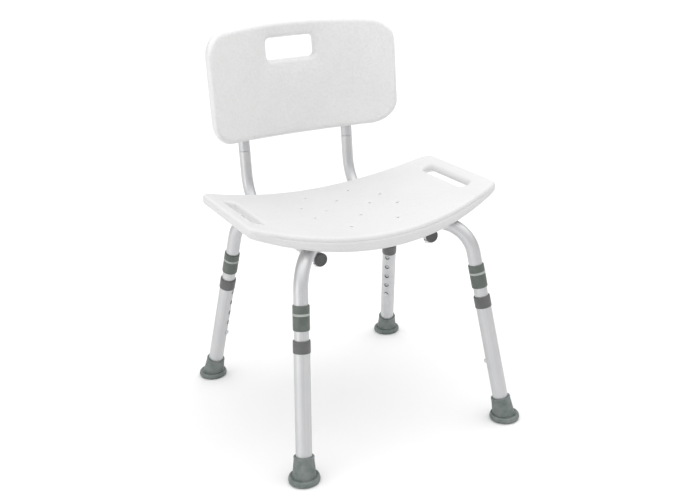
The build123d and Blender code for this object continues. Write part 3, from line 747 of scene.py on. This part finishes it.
parts = []
for side in (-1, 1):
    o = Vector((side * BT_X, BT_FRONT, BT_Z))
    prof = [(9.7, -7.0), (9.7, -0.02), (11.9, -0.02), (12.4, 0.5), (12.4, 1.7), (11.9, 2.7), (10.9, 3.25), (9.0, 3.42), (5.0, 3.47), (0.6, 3.5)]
    parts.append(lathe(prof, o, Vector((1, 0, 0)), Vector((0, 0, -1)), Vector((0, -1, 0)), 56, False))
v, f = join(parts)
make("tube_end_caps", v, f, "frame", ["back_tube_caps"], CAPP, 40.0)

# ------------------------------------------------------------------ collars, spacers and rings
groups = {
    "collars_upper": ("upper_collars", "collar_plastic", COLLAR,
                      [(12.85, 296.52), (14.3, 296.52), (14.65, 296.9), (14.75, 297.6), (14.75, 308.4), (14.55, 309.5), (14.1, 310.2),
                       (13.6, 310.5), (13.2, 310.45), (12.92, 309.9), (12.85, 309.0)]),
    "rings_spacer": ("spacer_rings", "light_plastic", LIGHT,
                     [(12.85, 292.02), (14.5, 292.02), (14.95, 292.3), (15.1, 292.9), (15.1, 295.6), (14.95, 296.2), (14.5, 296.48), (12.85, 296.48)]),
    "collars_lower": ("lower_collars", "collar_plastic", COLLAR,
                      [(12.85, 267.4), (13.05, 266.5), (13.7, 266.3), (14.25, 266.6), (14.62, 267.4), (14.75, 268.6), (14.75, 291.0),
                       (14.65, 291.7), (14.3, 291.98), (12.85, 291.98)]),
}
for name, (node, slot_name, mat, prof) in groups.items():
    parts = []
    for sx, sy in LEGS.values():
        n, m, d = leg_frame(sx, sy)
        parts.append(lathe(prof, leg_point(sx, sy, 0), n, m, d))
    v, f = join(parts)
    make(name, v, f, "frame", [node], mat, 34.0)

ring_prof = [(14.4, 227.3), (14.8, 227.3), (15.2, 227.6), (15.35, 228.3), (15.35, 247.2), (15.2, 248.3), (14.75, 249.0), (14.1, 249.3),
             (13.5, 249.3), (13.15, 249.0), (13.05, 248.4), (13.05, 245.1), (14.4, 245.1)]
for k, (sx, sy) in LEGS.items():
    n, m, d = leg_frame(sx, sy)
    v, f = lathe(ring_prof, leg_point(sx, sy, 0), n, m, d)
    make("guide_ring_" + k, v, f, "leg_" + k, ["leg_ring_" + k], RINGP, 34.0)

# ------------------------------------------------------------------ outer leg tubes
for k, (sx, sy) in LEGS.items():
    n, m, d = leg_frame(sx, sy)
    holes = [(T_BUTTON + HOLE_PITCH * i - T_TUBE_BOTTOM, HOLE_D / 2) for i in range(HOLE_COUNT)]
    v, f = drilled_tube(T_TUBE_TOP - T_TUBE_BOTTOM, OUTER_D / 2, WALL, holes, leg_point(sx, sy, T_TUBE_BOTTOM), n, m, d)
    make("outer_tube_" + k, v, f, "leg_" + k, ["leg_tube_" + k], ALU_LEG[k], 30.0)

# ------------------------------------------------------------------ painted shade: dark rings in the free adjusting holes, standing in for the shadow inside them
for k, (sx, sy) in LEGS.items():
    n, m, d = leg_frame(sx, sy)
    verts, faces = [], []
    for i in range(1, HOLE_COUNT):
        mid = leg_point(sx, sy, T_BUTTON + HOLE_PITCH * i)
        rings = []
        for r, out in ((4.48, 0), (4.48, 1), (4.20, 1), (4.05, 0)):
            first = len(verts)
            for j in range(36):
                a = 2 * math.pi * j / 36
                c = r * math.cos(a)
                h = math.sqrt((OUTER_D / 2) ** 2 - c * c) - 0.12 if out else math.sqrt((OUTER_D / 2 - WALL) ** 2 - c * c) + 0.03
                verts.append(mid + m * c + d * (r * math.sin(a)) + n * h)
            rings.append(list(range(first, first + 36)))
        for a, b in zip(rings, rings[1:] + rings[:1]):
            bridge(faces, a, b)
    # a dark ring in each free hole: painted shade, not the colour of the drilled edge
    make("hole_shade_rings_" + k, verts, faces, "leg_" + k, [], HOLE_SHADE, 40.0)

# ------------------------------------------------------------------ rubber foot tips
SEG = 72
for k, (sx, sy) in LEGS.items():
    n, m, d = leg_frame(sx, sy)
    base = Vector((sx * FOOT_X, sy * FOOT_Y, 0))
    lean = Vector((d.x / d.z, d.y / d.z, 0))
    verts, faces, loops = [], [], []

    def level(r, z, follow=0.0):
        s = len(verts)
        for j in range(SEG):
            a = 2 * math.pi * j / SEG
            verts.append(base + lean * (z * follow) + Vector((r * math.cos(a), r * math.sin(a), z)))
        loops.append(list(range(s, s + SEG)))

    def sleeve_dir(j):
        # horizontal direction turned into the leg's cross plane
        a = 2 * math.pi * j / SEG
        h = Vector((math.cos(a), math.sin(a), 0))
        return (h - d * h.dot(d)).normalized()

    def sleeve(r, t):
        s = len(verts)
        for j in range(SEG):
            verts.append(base + d * t + sleeve_dir(j) * r)
        loops.append(list(range(s, s + SEG)))

    # tread, wall and crown of the flange, level with the floor
    for r, z in ((3.0, 1.4), (9.0, 1.4), (10.0, 0.0), (14.0, 0.0), (15.0, 1.4), (18.0, 1.4), (19.0, 0.0), (24.8, 0.0), (26.4, 0.35), (27.4, 1.2),
                 (28.0, 2.6), (28.2, 4.0), (28.1, 5.6), (27.8, 7.2), (27.2, 8.7), (26.4, 9.8)):
        level(r, z)
    level(25.5, 10.5, 0.1)
    level(24.6, 10.6, 0.3)
    level(23.7, 10.2, 0.55)
    level(23.0, 9.4, 0.8)
    # the sleeve starts where its cone meets the level of the flange
    s = len(verts)
    for j in range(SEG):
        q = sleeve_dir(j)
        lo, hi = 0.0, 40.0
        for _ in range(40):
            t = (lo + hi) / 2
            r = 21.0 - 3.4 * (t - 9.0) / 35.5
            if (d * t + q * r).z < 9.0:
                lo = t
            else:
                hi = t
        verts.append(base + d * t + q * r)
    loops.append(list(range(s, s + SEG)))
    start_ring = [verts[i].copy() for i in loops[-1]]
    for i in range(1, 5):
        s = len(verts)
        for j in range(SEG):
            end = base + d * 40.1 + sleeve_dir(j) * 17.9
            verts.append(start_ring[j].lerp(end, i / 4))
        loops.append(list(range(s, s + SEG)))
    for r, t in ((18.15, 40.7), (18.3, 41.5), (18.3, 42.9), (17.95, 43.9), (17.2, 44.45), (16.2, 44.5), (15.1, 44.3), (14.6, 43.7), (14.42, 42.7), (14.42, 9.0), (3.0, 9.0)):
        sleeve(r, t)
    for a, b in zip(loops, loops[1:]):
        bridge(faces, a, b)
    faces.append(tuple(loops[0]))
    faces.append(tuple(loops[-1]))
    make("rubber_foot_" + k, verts, faces, "leg_" + k, ["foot_tip_" + k], RUBBER, 40.0)

# ------------------------------------------------------------------ finishes of the pieces shown as they are
shown = {
    "arm_plugs": CAPP, "joint_spigots": STEEL, "back_spigots": STEEL, "back_springs": SPRING, "back_post_caps": CAPP,
    "seat_bolts": STEEL, "seat_washers": STEEL, "seat_inserts": BRASS,
    "backrest_bolts": STEEL, "backrest_washers": STEEL, "backrest_inserts": BRASS,
    "back_button_left": STEEL, "back_button_right": STEEL,
}
for k in LEGS:
    shown["leg_post_" + k] = ALU_LEG[k]
    shown["foot_washer_" + k] = STEEL
    shown["snap_button_" + k] = STEEL
    shown["snap_spring_" + k] = SPRING
for node, mat in shown.items():
    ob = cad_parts[node]
    ob.data.materials.clear()
    ob.data.materials.append(mat)

# ------------------------------------------------------------------ floor, light and camera
bpy.ops.mesh.primitive_plane_add(size=60.0, location=(0, 0, -0.0004))
floor = bpy.context.object
floor.name = "floor"
m, nt, b = start("floor_white", 0.9, spec=0.1)
f0 = noise(nt, coords(nt), 3.0, 3.0)
nt.links.new(ramp(nt, f0, [(0.2, (0.825, 0.825, 0.825)), (0.8, (0.835, 0.835, 0.835))]), b.inputs["Base Color"])
floor.data.materials.append(m)

world = bpy.data.worlds.new("studio")
bpy.context.scene.world = world
world.use_nodes = True
wt = world.node_tree
sky = wt.nodes["Background"]
sky.inputs["Strength"].default_value = 1.0
wtc = wt.nodes.new("ShaderNodeTexCoord")
sep = wt.nodes.new("ShaderNodeSeparateXYZ")
wt.links.new(wtc.outputs["Generated"], sep.inputs["Vector"])
lift = wt.nodes.new("ShaderNodeValToRGB")
lift.color_ramp.elements[0].position, lift.color_ramp.elements[0].color = 0.0, (0.24, 0.24, 0.24, 1)
lift.color_ramp.elements[1].position, lift.color_ramp.elements[1].color = 1.0, (1.86, 1.86, 1.86, 1)
wt.links.new(sep.outputs["Z"], lift.inputs["Fac"])
wt.links.new(lift.outputs["Color"], sky.inputs["Color"])


def area(name, loc, target, size, power):
    l = bpy.data.lights.new(name, "AREA")
    l.shape = "RECTANGLE"
    l.size, l.size_y = size
    l.energy = power
    ob = bpy.data.objects.new(name, l)
    bpy.context.scene.collection.objects.link(ob)
    ob.location = loc
    ob.rotation_euler = (Vector(target) - Vector(loc)).to_track_quat("-Z", "Y").to_euler()
    return ob


area("key", (-2.8, -0.6, 0.62), (0, 0.15, 0.62), (1.6, 0.9), 12.0)
area("side", (1.3, -0.1, 2.6), (0, 0, 0.4), (1.8, 1.8), 9.5)

phi, elev, roll = math.radians(-26.702), math.radians(20.536), math.radians(-1.9615)
target = Vector((8.306, 0.0, 308.953)) * MM
back = Vector((math.sin(phi) * math.cos(elev), -math.cos(phi) * math.cos(elev), math.sin(elev)))
right = Vector((math.cos(phi), math.sin(phi), 0))
upv = back.cross(right)
r2 = right * math.cos(roll) + upv * math.sin(roll)
u2 = right * -math.sin(roll) + upv * math.cos(roll)
pos = target + back * 1.88211
cam = bpy.data.cameras.new("camera")
cam.sensor_fit = "HORIZONTAL"
cam.sensor_width = 36.0
cam.lens = 985.294 / 700.0 * 36.0
cam.clip_start, cam.clip_end = 0.01, 200.0
cam_ob = bpy.data.objects.new("camera", cam)
bpy.context.scene.collection.objects.link(cam_ob)
cam_ob.matrix_world = Matrix(((r2.x, u2.x, back.x, pos.x), (r2.y, u2.y, back.y, pos.y), (r2.z, u2.z, back.z, pos.z), (0, 0, 0, 1)))
bpy.context.scene.camera = cam_ob
bpy.context.scene.view_settings.view_transform = "Standard"
